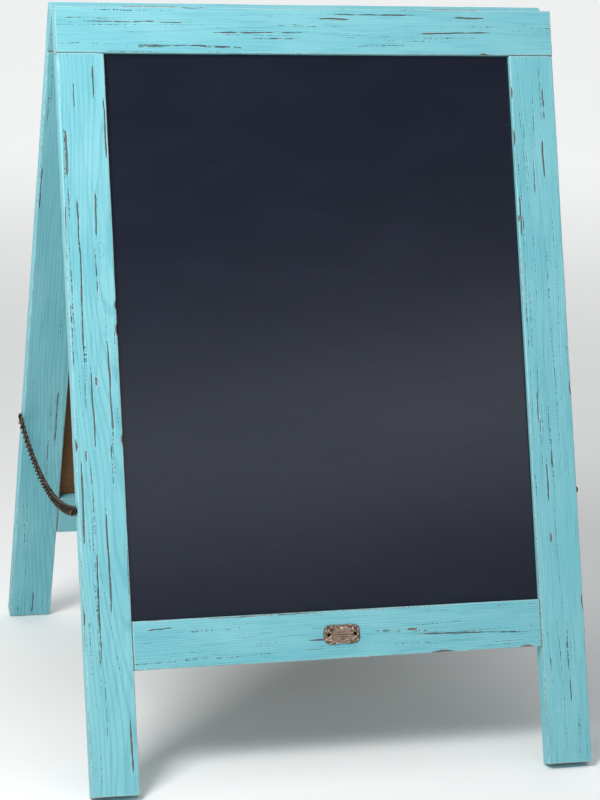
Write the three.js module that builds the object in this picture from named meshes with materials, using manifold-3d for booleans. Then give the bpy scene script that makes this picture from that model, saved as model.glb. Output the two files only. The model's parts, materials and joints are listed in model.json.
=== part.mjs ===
// Folding chalkboard sign: two identical timber frames, each holding a writing panel, joined along
// their top edges by two butt hinges and kept from spreading by a chain on each side.
// Units are millimetres, +X is to the right, +Y to the back and +Z up. The sign stands open on z = 0.
import * as THREE from 'three';
import { mergeVertices } from 'three/addons/utils/BufferGeometryUtils.js';
import Module from 'manifold-3d';

// ---- driving dimensions -------------------------------------------------------------------------

const frameWidth = 610;          // outside width of one frame
const frameLength = 914;         // top edge to foot, along the frame
const frameThickness = 20;
const stileWidth = 56;
const topRailHeight = 55;
const bottomRailHeight = 57;
const legLength = 142;           // foot to the underside of the bottom rail
const edgeRadius = 1.2;          // eased long edges of the timber
const leanDegrees = 19.65;       // each frame leans this far from upright

const panelThickness = 3;
const panelRecess = 6.5;         // outer face of the frame to the writing surface
const grooveDepth = 8;           // how far the panel reaches into the timber

const fit = 0.3;                 // gap between pieces that touch

const dowelRadius = 4;
const dowelLength = 50;
const topDowelInsets = { outer: 14, inner: 38 };     // from the outer side of the stile
const bottomDowelDrops = { upper: 15, lower: 42 };   // from the top of the bottom rail

const hingeSpread = 380;         // centre to centre of the two hinges
const hingeLength = 64;
const hingeGap = 3;              // between the two frames when folded flat
const pinRise = 2.9;             // hinge axis above the top edges
const pinRadius = 1.2;
const knuckleRadius = 2.6;
const knuckleCount = 5;
const knuckleGap = 0.5;
const leafThickness = 1;
const leafHeight = 26;
const leafScrewSpread = 40;
const leafScrewDrop = 15;        // hinge axis to the screws
const leafScrewRadius = 1.5;
const leafScrewLength = 14;
const leafScrewHeadRadius = 2.9;

const chainScrewDrop = 585;      // top edge to the screws that hold the chains
const chainScrewRadius = 1.9;
const chainScrewDepth = 16;
const chainScrewHeadRadius = 4;
const chainScrewHeadHeight = 2.4;
const linkPitch = 12.45;
const linksPerSegment = [6, 6, 5];   // from the screw to the middle of the chain
const segmentWidth = 8;
const layerThickness = 1.7;      // segments lie side by side in layers, so that they fold past each other

const plaqueWidth = 45;
const plaqueHeight = 24;
const plaqueThickness = 1.6;
const plaqueNailSpread = 32;
const plaqueNailRadius = 0.9;
const plaqueNailHeadRadius = 1.9;
const plaqueNailHeadHeight = 0.7;
const plaqueNailDepth = 8;

// ---- dimensions worked out from them ------------------------------------------------------------

const lean = THREE.MathUtils.degToRad(leanDegrees);
const halfWidth = frameWidth / 2;
const openingHalfWidth = halfWidth - stileWidth;
const innerFace = hingeGap / 2;                  // distance from the hinge plane to the frame's inner face
const outerFace = innerFace + frameThickness;
const middlePlane = innerFace + frameThickness / 2;
const bottomRailTop = frameLength - legLength - bottomRailHeight;
const panelOuterFace = outerFace - panelRecess;
const pinHeight = (frameLength + pinRise) * Math.cos(lean) - innerFace * Math.sin(lean);
// Height in a frame's own axes, from a drop below its top edge.
const up = (drop) => -(drop + pinRise);

const colours = {
  paint: { color: 0x86d0da, roughness: 0.62, metalness: 0 },
  slate: { color: 0x2b2f3b, roughness: 0.4, metalness: 0 },
  beech: { color: 0xd2b184, roughness: 0.7, metalness: 0 },
  steel: { color: 0x8c8a84, roughness: 0.35, metalness: 1 },
  darkBronze: { color: 0x2a221c, roughness: 0.45, metalness: 0.9 },
  agedBronze: { color: 0x8d7460, roughness: 0.5, metalness: 0.8 },
};

// ---- solids -------------------------------------------------------------------------------------

const wasm = await Module();
wasm.setup();

function toSolid(geometry) {
  const bare = geometry.clone();
  bare.deleteAttribute('normal');
  bare.deleteAttribute('uv');
  const merged = mergeVertices(bare, 1e-4);
  const vertProperties = new Float32Array(merged.attributes.position.array);
  const triVerts = new Uint32Array(merged.index.array);
  return new wasm.Manifold(new wasm.Mesh({ numProp: 3, vertProperties, triVerts }));
}

function toGeometry(solid) {
  const mesh = solid.getMesh();
  const geometry = new THREE.BufferGeometry();
  geometry.setAttribute('position', new THREE.BufferAttribute(mesh.vertProperties, 3));
  geometry.setIndex(new THREE.BufferAttribute(mesh.triVerts, 1));
  geometry.computeVertexNormals();
  return geometry;
}

function subtract(geometry, cutters) {
  let solid = toSolid(geometry);
  for (const cutter of cutters) {
    solid = solid.subtract(toSolid(cutter));
  }
  return toGeometry(solid);
}

function add(geometry, others) {
  let solid = toSolid(geometry);
  for (const other of others) {
    solid = solid.add(toSolid(other));
  }
  return toGeometry(solid);
}

// A box given by its low and high corners.
function block(low, high) {
  const size = high.map((value, axis) => value - low[axis]);
  const geometry = new THREE.BoxGeometry(...size);
  geometry.translate(...low.map((value, axis) => value + size[axis] / 2));
  return geometry;
}

// A round rod between two points that lie along one of the three axes.
function rod(radius, start, end, sides = 12) {
  const from = new THREE.Vector3(...start);
  const along = new THREE.Vector3(...end).sub(from);
  const geometry = new THREE.CylinderGeometry(radius, radius, along.length(), sides);
  geometry.translate(0, along.length() / 2, 0);
  const turn = new THREE.Quaternion().setFromUnitVectors(new THREE.Vector3(0, 1, 0), along.normalize());
  geometry.applyQuaternion(turn);
  geometry.translate(...start);
  return geometry;
}

// A turned piece whose profile is a list of [radius, distance along its axis].
function turned(profile, start, direction, sides = 16) {
  const points = profile.map(([radius, along]) => new THREE.Vector2(radius, along));
  const geometry = new THREE.LatheGeometry(points, sides);
  const turn = new THREE.Quaternion().setFromUnitVectors(
    new THREE.Vector3(0, 1, 0), new THREE.Vector3(...direction));
  geometry.applyQuaternion(turn);
  geometry.translate(...start);
  return geometry;
}

function roundedRectangle(width, height, radius) {
  const x = width / 2 - radius;
  const y = height / 2 - radius;
  const shape = new THREE.Shape();
  shape.absarc(x, y, radius, 0, Math.PI / 2);
  shape.absarc(-x, y, radius, Math.PI / 2, Math.PI);
  shape.absarc(-x, -y, radius, Math.PI, Math.PI * 1.5);
  shape.absarc(x, -y, radius, Math.PI * 1.5, Math.PI * 2);
  return shape;
}

// A length of timber with eased long edges, standing along Z.
function upright(width, length) {
  const shape = roundedRectangle(width, frameThickness, edgeRadius);
  const geometry = new THREE.ExtrudeGeometry(shape, { depth: length, bevelEnabled: false, curveSegments: 3 });
  geometry.translate(0, -middlePlane, 0);
  return geometry;
}

// The same timber lying along X.
function crosswise(height, length) {
  const shape = roundedRectangle(height, frameThickness, edgeRadius);
  const geometry = new THREE.ExtrudeGeometry(shape, { depth: length, bevelEnabled: false, curveSegments: 3 });
  geometry.rotateY(Math.PI / 2);
  geometry.translate(-length / 2, -middlePlane, 0);
  return geometry;
}

function piece(name, geometry, finish) {
  const mesh = new THREE.Mesh(geometry, new THREE.MeshStandardMaterial(finish));
  mesh.name = name;
  return mesh;
}

// ---- one frame, in its own axes: the hinge line is X, the outer face looks along -Y --------------

const sides = { left: -1, right: 1 };

// Where the dowels of one frame lie, as the two ends of each.
function dowelPlaces() {
  const places = [];
  for (const [side, sign] of Object.entries(sides)) {
    for (const [place, inset] of Object.entries(topDowelInsets)) {
      const x = sign * (halfWidth - inset);
      const high = up(topRailHeight - dowelLength / 2);
      const low = up(topRailHeight + dowelLength / 2);
      places.push({
        name: `${side}_top_dowel_${place}`,
        ends: [[x, -middlePlane, low], [x, -middlePlane, high]],
      });
    }
    for (const [place, drop] of Object.entries(bottomDowelDrops)) {
      const z = up(bottomRailTop + drop);
      const near = sign * (openingHalfWidth - dowelLength / 2);
      const far = sign * (openingHalfWidth + dowelLength / 2);
      places.push({
        name: `${side}_bottom_dowel_${place}`,
        ends: [[near, -middlePlane, z], [far, -middlePlane, z]],
      });
    }
  }
  return places;
}

// The same rod, longer by the fit at each end and wider by the fit all round.
function dowelHole({ ends }) {
  const start = new THREE.Vector3(...ends[0]);
  const end = new THREE.Vector3(...ends[1]);
  const extra = end.clone().sub(start).setLength(fit);
  return rod(dowelRadius + fit, start.sub(extra).toArray(), end.add(extra).toArray());
}

function panelBlock(clearance) {
  const reach = openingHalfWidth + grooveDepth + clearance;
  const low = up(bottomRailTop + grooveDepth + clearance);
  const high = up(topRailHeight - grooveDepth - clearance);
  const front = -(panelOuterFace + clearance);
  const back = -(panelOuterFace - panelThickness - clearance);
  return block([-reach, front, low], [reach, back, high]);
}

function leafScrewPlaces() {
  const places = [];
  for (const [side, sign] of Object.entries(sides)) {
    [-1, 1].forEach((end, index) => {
      const x = sign * hingeSpread / 2 + end * leafScrewSpread / 2;
      places.push({ name: `${side}_hinge_screw_${index + 1}`, x });
    });
  }
  return places;
}

function chainScrewHole(sign) {
  const z = up(chainScrewDrop);
  const radius = chainScrewRadius + fit;
  return rod(radius, [sign * (halfWidth + 1), -middlePlane, z],
    [sign * (halfWidth - chainScrewDepth - fit), -middlePlane, z]);
}

function leafScrewHole({ x }) {
  const reach = innerFace + leafScrewLength + fit;
  return rod(leafScrewRadius + fit, [x, 0, -leafScrewDrop], [x, -reach, -leafScrewDrop]);
}

function nailHole(x) {
  const z = up(bottomRailTop + bottomRailHeight / 2);
  return rod(plaqueNailRadius + fit, [x, -outerFace - 1, z], [x, -outerFace + plaqueNailDepth + fit, z], 8);
}

// A leaf of a butt hinge with the knuckles of the given parity, centred on x = 0.
function hingeLeaf(parity) {
  const near = innerFace - fit - leafThickness;
  const pitch = hingeLength / knuckleCount;
  const half = hingeLength / 2;
  let leaf = block([-half, -(near + leafThickness), -leafHeight], [half, -near, 0]);
  const knuckles = [];
  const notches = [];
  for (let index = 0; index < knuckleCount; index += 1) {
    const start = -half + index * pitch;
    const end = start + pitch;
    if (index % 2 === parity) {
      const first = index === 0 ? start : start + knuckleGap / 2;
      const last = index === knuckleCount - 1 ? end : end - knuckleGap / 2;
      knuckles.push(rod(knuckleRadius, [first, 0, 0], [last, 0, 0], 20));
    } else {
      const low = -(knuckleRadius + knuckleGap);
      const left = index === 0 ? start - 1 : start - knuckleGap / 2;
      const right = index === knuckleCount - 1 ? end + 1 : end + knuckleGap / 2;
      notches.push(block([left, -(innerFace + 1), low], [right, 1, 1]));
    }
  }
  leaf = subtract(leaf, notches);
  leaf = add(leaf, knuckles);
  const bore = rod(pinRadius + fit, [-half - 1, 0, 0], [half + 1, 0, 0], 16);
  const seats = [-1, 1].map((end) => {
    const wide = leafScrewHeadRadius + fit;
    const narrow = leafScrewRadius + fit;
    const profile = [[0, -1], [wide, -1], [wide, 0], [narrow, leafThickness + fit], [narrow, 4], [0, 4]];
    return turned(profile, [end * leafScrewSpread / 2, -near, -leafScrewDrop], [0, -1, 0]);
  });
  return subtract(leaf, [bore, ...seats]);
}

function leafScrew({ x }) {
  const near = innerFace - fit - leafThickness;
  const neck = leafThickness + 0.2;
  const profile = [
    [0, 0],
    [leafScrewHeadRadius, 0],
    [leafScrewRadius, neck],
    [leafScrewRadius, leafScrewLength - 3],
    [0, leafScrewLength],
  ];
  return turned(profile, [x, -near, -leafScrewDrop], [0, -1, 0], 12);
}

// A round-headed wood screw whose head stands clear of the chain's first layer.
function chainScrew(sign) {
  const seat = 2 * fit + layerThickness;
  const headTop = seat + chainScrewHeadHeight;
  const profile = [
    [0, -chainScrewDepth],
    [chainScrewRadius, -chainScrewDepth + 4],
    [chainScrewRadius, seat],
    [chainScrewHeadRadius, seat],
    [chainScrewHeadRadius * 0.86, seat + chainScrewHeadHeight * 0.55],
    [chainScrewHeadRadius * 0.5, headTop - 0.3],
    [0, headTop],
  ];
  return turned(profile, [sign * halfWidth, -middlePlane, up(chainScrewDrop)], [sign, 0, 0], 16);
}

function frameTimbers(frame) {
  const dowels = dowelPlaces().map(dowelHole);
  const leafScrews = leafScrewPlaces().map(leafScrewHole);
  const groove = panelBlock(fit);
  const timbers = new THREE.Group();

  for (const [side, sign] of Object.entries(sides)) {
    const stile = upright(stileWidth, frameLength - topRailHeight - fit);
    stile.translate(sign * (halfWidth - stileWidth / 2), 0, up(frameLength));
    const shape = subtract(stile, [groove, chainScrewHole(sign), ...dowels]);
    timbers.add(piece(`${frame}_${side}_stile`, shape, colours.paint));
  }

  const topRail = crosswise(topRailHeight, frameWidth);
  topRail.translate(0, 0, up(topRailHeight / 2));
  const topRailSolid = subtract(topRail, [groove, ...dowels, ...leafScrews]);
  timbers.add(piece(`${frame}_top_rail`, topRailSolid, colours.paint));

  const bottomRail = crosswise(bottomRailHeight, 2 * (openingHalfWidth - fit));
  bottomRail.translate(0, 0, up(bottomRailTop + bottomRailHeight / 2));
  const nails = frame === 'front' ? [-1, 1].map((end) => nailHole(end * plaqueNailSpread / 2)) : [];
  const bottomRailSolid = subtract(bottomRail, [groove, ...dowels, ...nails]);
  timbers.add(piece(`${frame}_bottom_rail`, bottomRailSolid, colours.paint));

  timbers.add(piece(`${frame}_chalk_panel`, panelBlock(0), colours.slate));
  return timbers;
}

function frameHardware(frame) {
  const hardware = new THREE.Group();
  for (const place of dowelPlaces()) {
    hardware.add(piece(`${frame}_${place.name}`, rod(dowelRadius, ...place.ends), colours.beech));
  }
  for (const place of leafScrewPlaces()) {
    hardware.add(piece(`${frame}_${place.name}`, leafScrew(place), colours.steel));
  }
  for (const [side, sign] of Object.entries(sides)) {
    const leaf = piece(`${side}_hinge_${frame}_leaf`, hingeLeaf(frame === 'front' ? 0 : 1), colours.steel);
    leaf.position.x = sign * hingeSpread / 2;
    hardware.add(leaf);
    hardware.add(piece(`${frame}_${side}_chain_screw`, chainScrew(sign), colours.darkBronze));
  }
  return hardware;
}

// ---- the plaque on the front frame's bottom rail -------------------------------------------------

// A lobed label outline: bowed ends, and a notch between two lobes along the top and the bottom.
function plaqueOutline() {
  const x = plaqueWidth / 2;
  const y = plaqueHeight / 2;
  const outline = new THREE.Shape();
  outline.moveTo(0, y * 0.92);
  outline.quadraticCurveTo(x * 0.12, y, x * 0.3, y);
  outline.lineTo(x * 0.6, y);
  outline.quadraticCurveTo(x * 0.86, y, x * 0.88, y * 0.6);
  outline.quadraticCurveTo(x, y * 0.45, x * 0.97, 0);
  outline.quadraticCurveTo(x, -y * 0.45, x * 0.88, -y * 0.6);
  outline.quadraticCurveTo(x * 0.86, -y, x * 0.6, -y);
  outline.lineTo(x * 0.3, -y);
  outline.quadraticCurveTo(x * 0.12, -y, 0, -y * 0.92);
  outline.quadraticCurveTo(-x * 0.12, -y, -x * 0.3, -y);
  outline.lineTo(-x * 0.6, -y);
  outline.quadraticCurveTo(-x * 0.86, -y, -x * 0.88, -y * 0.6);
  outline.quadraticCurveTo(-x, -y * 0.45, -x * 0.97, 0);
  outline.quadraticCurveTo(-x, y * 0.45, -x * 0.88, y * 0.6);
  outline.quadraticCurveTo(-x * 0.86, y, -x * 0.6, y);
  outline.lineTo(-x * 0.3, y);
  outline.quadraticCurveTo(-x * 0.12, y, 0, y * 0.92);
  return outline;
}

function plaque() {
  const assembly = new THREE.Group();
  const settings = { depth: plaqueThickness, bevelEnabled: false, curveSegments: 4 };
  const plate = new THREE.ExtrudeGeometry(plaqueOutline(), settings);
  plate.rotateX(Math.PI / 2);
  plate.translate(0, -fit, 0);
  const holes = [-1, 1].map((end) => {
    const x = end * plaqueNailSpread / 2;
    return rod(plaqueNailRadius + fit, [x, 1, 0], [x, -plaqueThickness - 1, 0], 8);
  });
  assembly.add(piece('front_plaque', subtract(plate, holes), colours.agedBronze));
  for (const [side, sign] of Object.entries(sides)) {
    const seat = plaqueThickness + 2 * fit;
    const profile = [
      [0, -plaqueNailDepth],
      [plaqueNailRadius, -plaqueNailDepth + 2],
      [plaqueNailRadius, seat],
      [plaqueNailHeadRadius, seat],
      [plaqueNailHeadRadius * 0.6, seat + plaqueNailHeadHeight],
      [0, seat + plaqueNailHeadHeight],
    ];
    const nail = turned(profile, [sign * plaqueNailSpread / 2, 0, 0], [0, -1, 0], 10);
    assembly.add(piece(`plaque_nail_${side}`, nail, colours.agedBronze));
  }
  assembly.position.set(0, -outerFace, up(bottomRailTop + bottomRailHeight / 2));
  return assembly;
}

// ---- the hinge pins ------------------------------------------------------------------------------

function hingePin(side, sign) {
  const half = hingeLength / 2 + 0.8;
  const profile = [
    [0, -half],
    [pinRadius * 0.7, -half],
    [pinRadius, -half + 0.5],
    [pinRadius, half - 0.5],
    [pinRadius * 0.7, half],
    [0, half],
  ];
  const pin = turned(profile, [sign * hingeSpread / 2, 0, 0], [1, 0, 0]);
  return piece(`${side}_hinge_pin`, pin, colours.steel);
}

// ---- the chains ----------------------------------------------------------------------------------

// Each chain hangs between its two screws in a catenary. It is divided into straight segments that
// pivot where they meet; the pivots are worked out in the (y, z) plane, from the front screw backwards.
function chainPivots() {
  const drop = chainScrewDrop + pinRise;
  const halfSpan = drop * Math.sin(lean) + middlePlane * Math.cos(lean);
  const screwHeight = pinHeight - drop * Math.cos(lean) + middlePlane * Math.sin(lean);
  const halfLength = linkPitch * linksPerSegment.reduce((sum, count) => sum + count, 0);
  let low = halfSpan / 10;
  let high = halfSpan * 100;
  for (let step = 0; step < 60; step += 1) {
    const middle = (low + high) / 2;
    if (middle * Math.sinh(halfSpan / middle) > halfLength) {
      low = middle;
    } else {
      high = middle;
    }
  }
  const parameter = (low + high) / 2;
  const lowest = screwHeight - parameter * (Math.cosh(halfSpan / parameter) - 1);
  const pivotAt = (along) => {
    const y = parameter * Math.asinh(along / parameter);
    return [y, lowest + parameter * (Math.cosh(y / parameter) - 1)];
  };
  const pivots = [pivotAt(-halfLength)];
  let along = -halfLength;
  for (const count of [...linksPerSegment, ...linksPerSegment.toReversed()]) {
    along += count * linkPitch;
    pivots.push(pivotAt(along));
  }
  return pivots;
}

// A flat bar with round ends between two pivots, in the layer of that number, on the given side.
function segmentBar(start, end, layer, sign, hasScrewHole) {
  const length = Math.hypot(end[0] - start[0], end[1] - start[1]);
  const radius = segmentWidth / 2;
  const outline = new THREE.Shape();
  outline.absarc(length, 0, radius, -Math.PI / 2, Math.PI / 2);
  outline.absarc(0, 0, radius, Math.PI / 2, Math.PI * 1.5);
  const settings = { depth: layerThickness, bevelEnabled: false, curveSegments: 8 };
  let bar = new THREE.ExtrudeGeometry(outline, settings);
  if (hasScrewHole) {
    bar = subtract(bar, [rod(chainScrewRadius + fit, [0, 0, -1], [0, 0, layerThickness + 1])]);
  }
  // The outline's X and Y become the sign's Y and Z, and the thickness runs along +X.
  bar.rotateX(Math.PI / 2);
  bar.rotateZ(Math.PI / 2);
  bar.rotateX(Math.atan2(end[1] - start[1], end[0] - start[0]));
  const near = halfWidth + fit + layer * (layerThickness + fit);
  const x = sign > 0 ? near : -near - layerThickness;
  bar.translate(x, start[0], start[1]);
  return bar;
}

function chain(side, sign) {
  const strand = new THREE.Group();
  const pivots = chainPivots();
  const count = linksPerSegment.length;
  const layers = { front: [0, 1, 0], back: [0, 1, 2] };
  for (let index = 0; index < count; index += 1) {
    const front = segmentBar(pivots[index], pivots[index + 1], layers.front[index], sign, index === 0);
    strand.add(piece(`${side}_chain_front_${index + 1}`, front, colours.darkBronze));
    const from = 2 * count - index;
    const back = segmentBar(pivots[from], pivots[from - 1], layers.back[index], sign, index === 0);
    strand.add(piece(`${side}_chain_back_${index + 1}`, back, colours.darkBronze));
  }
  return strand;
}

// ---- the whole sign ------------------------------------------------------------------------------

const sign = new THREE.Group();

const frontFrame = new THREE.Group();
frontFrame.add(frameTimbers('front'), frameHardware('front'), plaque());
frontFrame.rotation.x = -lean;
frontFrame.position.z = pinHeight;
sign.add(frontFrame);

// The back frame is the front one turned half round about Z, so its left and right change places.
const backFrame = new THREE.Group();
backFrame.add(frameTimbers('back'), frameHardware('back'));
backFrame.traverse((node) => {
  const swapped = { left: 'right', right: 'left' };
  node.name = node.name.replace(/left|right/, (side) => swapped[side]);
});
backFrame.rotation.x = -lean;
const backTurn = new THREE.Group();
backTurn.add(backFrame);
backTurn.rotation.z = Math.PI;
backTurn.position.z = pinHeight;
sign.add(backTurn);

const pins = new THREE.Group();
for (const [side, direction] of Object.entries(sides)) {
  pins.add(hingePin(side, direction));
  sign.add(chain(side, direction));
}
pins.position.z = pinHeight;
sign.add(pins);

export default sign;
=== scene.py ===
"""The looks of the folding chalkboard sign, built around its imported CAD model.

Sizes are written in millimetres, as the CAD model has them, and become metres when a mesh is made.
"""
import itertools
import json
import math

import bpy
import numpy as np
from mathutils import Matrix, Vector


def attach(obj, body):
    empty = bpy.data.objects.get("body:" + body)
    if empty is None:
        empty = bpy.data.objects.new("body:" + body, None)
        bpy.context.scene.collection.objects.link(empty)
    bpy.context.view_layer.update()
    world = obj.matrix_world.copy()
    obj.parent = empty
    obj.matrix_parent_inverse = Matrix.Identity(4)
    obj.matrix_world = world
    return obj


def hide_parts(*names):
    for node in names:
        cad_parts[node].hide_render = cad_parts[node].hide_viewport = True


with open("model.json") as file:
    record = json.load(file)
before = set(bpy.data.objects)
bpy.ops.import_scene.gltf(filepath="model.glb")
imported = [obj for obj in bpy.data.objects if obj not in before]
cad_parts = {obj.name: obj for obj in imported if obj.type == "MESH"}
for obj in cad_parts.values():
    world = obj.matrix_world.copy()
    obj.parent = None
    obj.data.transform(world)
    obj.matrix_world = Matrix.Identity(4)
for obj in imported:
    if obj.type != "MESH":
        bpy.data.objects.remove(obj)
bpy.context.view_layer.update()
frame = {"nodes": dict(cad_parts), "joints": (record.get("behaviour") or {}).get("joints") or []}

# ---- sizes that the CAD model shares ------------------------------------------------------------

MM = 0.001
FRAME_WIDTH = 610
FRAME_LENGTH = 914
THICKNESS = 20
STILE_WIDTH = 56
TOP_RAIL = 55
BOTTOM_RAIL = 57
LEG = 142
LEAN = math.radians(19.65)
PANEL_THICKNESS = 3
PANEL_RECESS = 6.5
GROOVE = 8
FIT = 0.3
INNER_FACE = 1.5
PIN_RISE = 2.9
CHAIN_SCREW_DROP = 585
LINK_PITCH = 12.45
LINKS_PER_SEGMENT = (6, 6, 5)

HALF_WIDTH = FRAME_WIDTH / 2
OPENING = HALF_WIDTH - STILE_WIDTH
MIDDLE = INNER_FACE + THICKNESS / 2
OUTER_FACE = INNER_FACE + THICKNESS
BOTTOM_RAIL_TOP = FRAME_LENGTH - LEG - BOTTOM_RAIL
STILE_LENGTH = FRAME_LENGTH - TOP_RAIL - FIT
BOTTOM_RAIL_LENGTH = 2 * (OPENING - FIT)
SIDES = {"left": -1, "right": 1}
OTHER_SIDE = {"left": "right", "right": "left"}

fold = next(joint for joint in frame["joints"] if joint["name"] == "fold")
PIN_HEIGHT = fold["pos_m"][2] / MM


def frame_matrix(which):
    """From a frame's own axes (hinge line along X, outer face towards -Y) to the scene, in metres."""
    turn = Matrix.Rotation(math.pi if which == "back" else 0, 4, "Z")
    return Matrix.Translation((0, 0, PIN_HEIGHT * MM)) @ turn @ Matrix.Rotation(-LEAN, 4, "X")


def real_side(which, side):
    """The back frame is the front one turned half round, so its left and right change places."""
    return side if which == "front" else OTHER_SIDE[side]


# ---- noise ---------------------------------------------------------------------------------------

def hashed(cells, seed):
    """A repeatable number from -1 to 1 for each row of whole numbers."""
    mixed = cells[:, 0] * 374761393 + cells[:, 1] * 668265263 + cells[:, 2] * 1440662683
    mixed = (mixed + seed * 974634777) & 0xFFFFFFFF
    mixed = ((mixed ^ (mixed >> 13)) * 1274126177) & 0xFFFFFFFF
    mixed = ((mixed ^ (mixed >> 15)) * 2246822519) & 0xFFFFFFFF
    mixed = mixed ^ (mixed >> 16)
    return mixed / 2147483648.0 - 1.0


def soft_noise(seed, *axes):
    """Smooth noise from -1 to 1 at points given by one, two or three arrays."""
    axes = np.broadcast_arrays(*axes, *[0.0] * (3 - len(axes)))
    points = np.stack(axes, axis=-1).reshape(-1, 3)
    cells = np.floor(points).astype(np.int64)
    part = points - cells
    part = part * part * (3 - 2 * part)
    total = np.zeros(len(points))
    for corner in itertools.product((0, 1), repeat=3):
        weight = np.prod(np.where(corner, part, 1 - part), axis=1)
        total += weight * hashed(cells + np.array(corner), seed)
    return total.reshape(axes[0].shape)


def smoothstep(low, high, value):
    part = np.clip((value - low) / (high - low), 0, 1)
    return part * part * (3 - 2 * part)


# ---- meshes --------------------------------------------------------------------------------------

def make_mesh(name, vertices, faces, attributes=None, smooth=True):
    """A mesh object from millimetre vertices, with one value for each vertex in every attribute."""
    mesh = bpy.data.meshes.new(name)
    mesh.from_pydata((np.asarray(vertices) * MM).tolist(), [], faces)
    for key, values in (attributes or {}).items():
        layer = mesh.attributes.new(key, "FLOAT", "POINT")
        layer.data.foreach_set("value", np.asarray(values, dtype=np.float32))
    mesh.polygons.foreach_set("use_smooth", [smooth] * len(mesh.polygons))
    mesh.update()
    thing = bpy.data.objects.new(name, mesh)
    bpy.context.scene.collection.objects.link(thing)
    return thing


def wrapped_faces(rows, columns):
    """Quads over a tube of rows, each row closed on itself."""
    faces = []
    for row in range(rows - 1):
        for column in range(columns):
            after = (column + 1) % columns
            near, far = row * columns, (row + 1) * columns
            faces.append((near + column, far + column, far + after, near + after))
    return faces


# ---- timber --------------------------------------------------------------------------------------

END_BEVEL = 0.8
ROW_STEP = 2.4                  # between the rows of vertices along a board
OUTER_STEP = 0.85               # between the columns on its outer face, its inner face and its sides
INNER_STEP = 1.7
SIDE_STEP = 1.1
RING_PROBE = 0.4                # how far apart two looks at the rings are, to find their slope
WIDEST_OPENING = 0.62           # half the width of the widest line along a ring
FAR = 9.0                       # the distance given where no split is near
RING_GROOVE = 0.22              # depths cut or brushed into the skin
SPLIT_GROOVE = 0.7
BRUSHED = 0.09
UNEVEN = 0.14
CAP_RINGS = (0.9, 0.6, 0.3, 0.08)       # how far each ring of an end face has shrunk to its middle


def face_columns(width):
    """The columns round a board: their place on the square section, and their outward direction."""
    plan = [
        ((-1, 1), (1, 1), (0, 1), int(width / OUTER_STEP)),        # outer face
        ((1, 1), (1, -1), (1, 0), int(THICKNESS / SIDE_STEP)),
        ((1, -1), (-1, -1), (0, -1), int(width / INNER_STEP)),      # inner face
        ((-1, -1), (-1, 1), (-1, 0), int(THICKNESS / SIDE_STEP)),
    ]
    places, directions = [], []
    for start, end, outward, count in plan:
        for step in range(count + 1):
            part = step / count
            places.append([start[axis] + (end[axis] - start[axis]) * part for axis in (0, 1)])
            directions.append(outward)
        first = math.atan2(outward[1], outward[0])
        for step in (1, 2, 3):
            angle = first - step * math.pi / 8
            places.append(end)
            directions.append((math.cos(angle), math.sin(angle)))
    return np.array(places, float), np.array(directions, float)


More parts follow.
